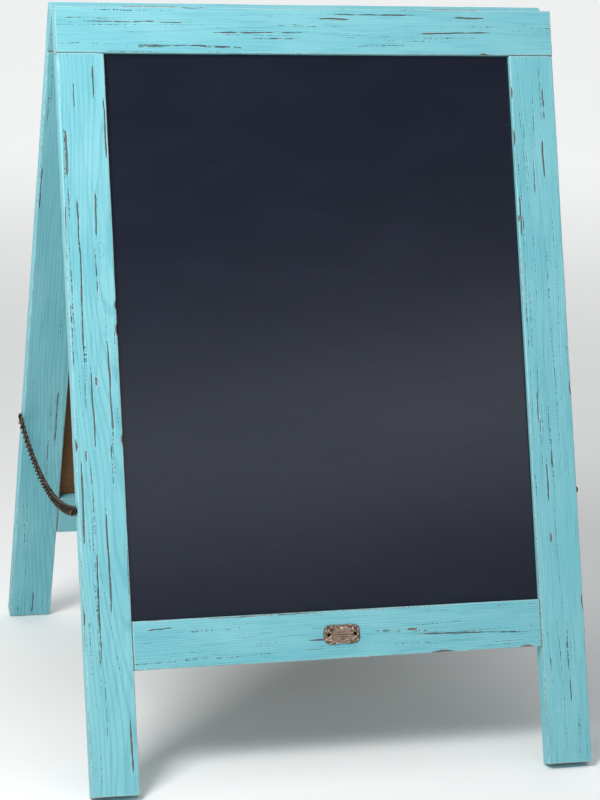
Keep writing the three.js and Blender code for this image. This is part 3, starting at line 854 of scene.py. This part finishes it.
def turned_mesh(name, profile, sides, slot=None):
    """A closed turned piece about Z from (radius, height) points, with a screwdriver slot if asked.

    The slot is (half width, depth): it is pressed into the top of the piece along X.
    """
    vertices, faces = [], []
    for radius, height in profile:
        for step in range(sides):
            angle = 2 * math.pi * step / sides
            x, y = radius * math.cos(angle), radius * math.sin(angle)
            z = height
            if slot and height > profile[-1][1] - slot[1] * 1.6:
                pressed = 1 - smoothstep(slot[0] * 0.8, slot[0] * 1.25, abs(y))
                z = height - float(pressed) * max(0.0, height - (profile[-1][1] - slot[1]))
            vertices.append((x, y, z))
    for row in range(len(profile) - 1):
        for step in range(sides):
            a, b = row * sides + step, row * sides + (step + 1) % sides
            faces.append((a, b, b + sides, a + sides))
    faces.append(tuple(reversed(range(sides))))
    faces.append(tuple(range((len(profile) - 1) * sides, len(profile) * sides)))
    return make_mesh(name, vertices, faces)


def build_chain_screws(metal):
    """Round-headed screws with a slot, whose heads hold the end links against the stiles."""
    shank, shoulder, head, rise = 1.7, 2.3, 4.0, 2.35
    dome = [(head * math.cos(a), shoulder + 0.35 + (rise - 0.35) * math.sin(a))
            for a in np.linspace(0, 0.5 * math.pi * 0.985, 26)]
    profile = [(0.3, -16), (shank, -12), (shank, shoulder), (head - 0.25, shoulder), (head, shoulder + 0.2)]
    profile += dome
    for which in ("front", "back"):
        for side, sign in SIDES.items():
            node = f"{which}_{real_side(which, side)}_chain_screw"
            screw = turned_mesh(f"{node}_head", profile, 64, slot=(0.55, 1.0))
            start = Vector((sign * HALF_WIDTH, -MIDDLE, -(CHAIN_SCREW_DROP + PIN_RISE))) * MM
            turn = Matrix.Rotation(sign * math.pi / 2, 4, "Y") @ Matrix.Rotation(0.6 + sign, 4, "Z")
            screw.matrix_world = frame_matrix(which) @ Matrix.Translation(start) @ turn
            screw.data.materials.append(metal)
            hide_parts(node)
            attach(screw, f"{which}_frame")


# ---- plaque --------------------------------------------------------------------------------------

PLAQUE_WIDTH = 44.6
PLAQUE_HEIGHT = 23.8
PLAQUE_THICKNESS = 1.6
NAIL_SPREAD = 32
CORNER_POWER = 0.46             # 1 makes the outline an ellipse, and less makes it squarer
LOBES = 14


def plaque_relief(x, y, part):
    """How far the casting stands up at a place, from 0 to 1. part is 0 in the middle, 1 at the rim."""
    scrolls = soft_noise(41, x / 1.5, y / 1.3) + 0.5 * soft_noise(45, x / 0.7, y / 0.7)
    level = 0.55 + 0.1 * scrolls + 0.42 * scrolls * smoothstep(0.42, 0.6, part)
    level -= 0.35 * np.exp(-((part - 0.84) / 0.03) ** 2)
    crest = np.exp(-(((x - 0.6) / 1.7) ** 2 + ((y - 7.4) / 1.5) ** 2) ** 2)
    level += 0.6 * crest
    for middle_y, half_x in ((2.6, 5.5), (-0.4, 9.0), (-3.2, 7.0), (-5.8, 4.5)):
        inside = 1 - smoothstep(half_x - 0.5, half_x, abs(x))
        mark = inside * (1 - smoothstep(0.4, 0.8, abs(y - middle_y)))
        mark *= smoothstep(-0.6, -0.2, soft_noise(42, x / 1.3, y * 0 + middle_y))
        level -= 0.4 * mark
    for sign in (-1, 1):
        from_nail = np.hypot(x - sign * NAIL_SPREAD / 2, y)
        level = np.where(from_nail < 2.7, level * smoothstep(1.9, 2.7, from_nail), level)
    level = np.clip(level, 0, 1) * (1 - 0.85 * smoothstep(0.94, 0.99, part))
    return level


def build_plaque(metal, dark_metal):
    around, rings = 260, 46
    angles = np.linspace(0, 2 * math.pi, around, endpoint=False)
    cosine, sine = np.cos(angles), np.sin(angles)
    lobes = 0.975 + 0.016 * np.cos(LOBES * angles) + 0.012 * soft_noise(43, angles * 5.1)
    lobes -= 0.035 * np.exp(-((np.abs(np.abs(angles - math.pi) - math.pi / 2)) / 0.1) ** 2)
    edge_x = np.sign(cosine) * np.abs(cosine) ** CORNER_POWER * PLAQUE_WIDTH / 2 * np.clip(lobes, 0, 1)
    edge_y = np.sign(sine) * np.abs(sine) ** CORNER_POWER * PLAQUE_HEIGHT / 2 * np.clip(lobes, 0, 1)
    vertices, raised = [], []
    parts = np.concatenate([[0.02], np.linspace(0.06, 0.95, rings - 6), [0.97, 0.985, 0.995, 1.0]])
    for part in parts:
        x, y = edge_x * part, edge_y * part
        level = plaque_relief(x, y, np.full(around, part))
        grit = 0.06 * soft_noise(44, x / 0.9, y / 0.9)
        top = 0.75 + 0.7 * level + grit
        top = top * (1 - 0.35 * smoothstep(0.97, 1.0, part))
        vertices.extend(zip(x, -np.clip(top, 0.3, PLAQUE_THICKNESS), y))
        raised.extend(level)
    for level, part in ((0.2, 1.0), (0.0, 0.99)):
        vertices.extend(zip(edge_x * part, np.full(around, -level), edge_y * part))
        raised.extend(np.zeros(around))
    rows = len(parts) + 2
    faces = wrapped_faces(rows, around)
    faces.append(tuple(range(around)))
    faces.append(tuple(reversed(range((rows - 1) * around, rows * around))))
    plaque = make_mesh("front_plaque_casting", vertices, faces, {"raised": raised})
    middle = (0, -OUTER_FACE - FIT, -(BOTTOM_RAIL_TOP + BOTTOM_RAIL / 2 + PIN_RISE))
    place = frame_matrix("front") @ Matrix.Translation(Vector(middle) * MM)
    plaque.matrix_world = place
    plaque.data.materials.append(metal)
    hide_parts("front_plaque")
    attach(plaque, "front_frame")

    shank, head = 0.9, 1.85
    dome = [(head * math.cos(a), 1.0 + 0.9 * math.sin(a)) for a in np.linspace(0, 1.53, 14)]
    profile = [(0.2, -8), (shank, -6), (shank, 0.75), (head * 0.94, 0.8)] + dome
    for side, sign in SIDES.items():
        nail = turned_mesh(f"plaque_nail_{side}_head", profile, 32)
        offset = Matrix.Translation(Vector((sign * NAIL_SPREAD / 2, 0, 0)) * MM)
        nail.matrix_world = place @ offset @ Matrix.Rotation(math.pi / 2, 4, "X")
        nail.data.materials.append(dark_metal)
        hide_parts(f"plaque_nail_{side}")
        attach(nail, "front_frame")


# ---- carried-over CAD pieces ---------------------------------------------------------------------

def finish_cad_nodes(steel, beech):
    for name, node in frame["nodes"].items():
        metal = "hinge" in name
        if metal or "dowel" in name:
            node.data.materials.clear()
            node.data.materials.append(steel if metal else beech)


# ---- the set -------------------------------------------------------------------------------------

def build_floor():
    bpy.ops.mesh.primitive_grid_add(x_subdivisions=8, y_subdivisions=8, size=60, location=(0, 0, -0.0005))
    floor = bpy.context.object
    floor.name = "studio_floor"
    shader = Shader("pale_floor", Roughness=0.9, Specular_IOR_Level=0.1)
    mottle = shader.noise((900, 900, 900), detail=2)
    shader.set("Base Color", shader.mix(mottle, srgb(244, 244, 243), srgb(249, 249, 248)))
    shader.surface.inputs["Emission Color"].default_value = (1, 1, 1, 1)
    away = shader.tree.nodes.new("ShaderNodeVectorMath")
    away.operation = "LENGTH"
    shader.put(away.inputs[0], shader.place)
    shader.set("Emission Strength", shader.step(away.outputs["Value"], 1.2, 4.5, 0.0, 0.35))
    floor.data.materials.append(shader.material)


def area_light(name, place, aim, size, power, colour=(1, 1, 1)):
    data = bpy.data.lights.new(name, "AREA")
    data.shape = "RECTANGLE"
    data.size, data.size_y = size
    data.energy = power
    data.color = colour
    light = bpy.data.objects.new(name, data)
    light.location = place
    light.rotation_mode = "QUATERNION"
    light.rotation_quaternion = (Vector(aim) - Vector(place)).to_track_quat("-Z", "Y")
    bpy.context.scene.collection.objects.link(light)


# Brightness of the surroundings: between two directions along an axis, from one strength to another.
SKY_OVERHEAD = (0.45, 1.0, 0.08, 0.75)
SKY_HORIZON = (0.08, 0.17, 0.5, 0.0)
SKY_BEHIND = (-0.35, 0.55, 0.0, 0.38)


KEY_PLACE = (-1.32, -1.19, 2.03)
KEY_WATTS = 44.5
STRIP_PLACE = (1.1, -3.2, 1.7)
STRIP_WATTS = 6.6
STRIP_COLOUR = (0.86, 0.92, 1.0)


def build_lights():
    """Soft light from above, a key from the left and front, and a long strip that the slate mirrors."""
    world = bpy.data.worlds.new("studio")
    world.use_nodes = True
    tree = world.node_tree
    background = tree.nodes["Background"]
    background.inputs["Color"].default_value = (0.97, 0.99, 1.0, 1)
    direction = tree.nodes.new("ShaderNodeTexCoord")
    axes = tree.nodes.new("ShaderNodeSeparateXYZ")
    tree.links.new(direction.outputs["Generated"], axes.inputs[0])
    total = None
    for axis, spread in (("Z", SKY_OVERHEAD), ("Z", SKY_HORIZON), ("Y", SKY_BEHIND)):
        ramp = tree.nodes.new("ShaderNodeMapRange")
        ramp.interpolation_type = "SMOOTHSTEP"
        for socket, value in zip(list(ramp.inputs)[1:5], spread):
            socket.default_value = value
        tree.links.new(axes.outputs[axis], ramp.inputs[0])
        if total:
            both = tree.nodes.new("ShaderNodeMath")
            tree.links.new(total, both.inputs[0])
            tree.links.new(ramp.outputs[0], both.inputs[1])
            total = both.outputs[0]
        else:
            total = ramp.outputs[0]
    tree.links.new(total, background.inputs["Strength"])
    bpy.context.scene.world = world
    area_light("key", KEY_PLACE, (0, 0, 0.45), (0.75, 0.75), KEY_WATTS)
    area_light("strip", STRIP_PLACE, (0, -0.2, 0.45), (2.6, 0.3), STRIP_WATTS, STRIP_COLOUR)
    bpy.context.scene.view_settings.view_transform = "Standard"


CAMERA_PLACE = (-778.8, -2883.1, 1164.7)
CAMERA_YAW = math.radians(16.015)          # to the right of straight ahead, along +Y
CAMERA_PITCH = math.radians(-16.487)
CAMERA_ROLL = math.radians(2.327)
CAMERA_LENS = 110.89                       # on a sensor 36 mm across its longer side
CAMERA_SHIFT = (-0.0302, 0.0971)


def build_camera():
    """A long lens in front and to the left, above the sign, for a picture of 600 by 800."""
    yaw, pitch, roll = CAMERA_YAW, CAMERA_PITCH, CAMERA_ROLL
    forward = Vector((math.sin(yaw) * math.cos(pitch), math.cos(yaw) * math.cos(pitch), math.sin(pitch)))
    level = Vector((math.cos(yaw), -math.sin(yaw), 0))
    upward = level.cross(forward)
    right = level * math.cos(roll) + upward * math.sin(roll)
    top = upward * math.cos(roll) - level * math.sin(roll)
    data = bpy.data.cameras.new("camera")
    data.sensor_width = 36
    data.lens = CAMERA_LENS
    data.shift_x, data.shift_y = CAMERA_SHIFT
    camera = bpy.data.objects.new("camera", data)
    turn = Matrix((right, top, -forward)).transposed().to_4x4()
    camera.matrix_world = Matrix.Translation(Vector(CAMERA_PLACE) * MM) @ turn
    bpy.context.scene.collection.objects.link(camera)
    bpy.context.scene.camera = camera


def main():
    build_camera()
    build_floor()
    build_lights()
    paint = paint_material()
    slate = slate_material()
    hardboard = hardboard_material()
    metal = chain_material()
    for which in ("front", "back"):
        build_timbers(which, paint)
        build_panel(which, slate, hardboard)
    for side in SIDES:
        build_chain(side, metal)
    build_chain_screws(metal)
    build_plaque(plaque_material(), metal)
    finish_cad_nodes(steel_material(), beech_material())


main()
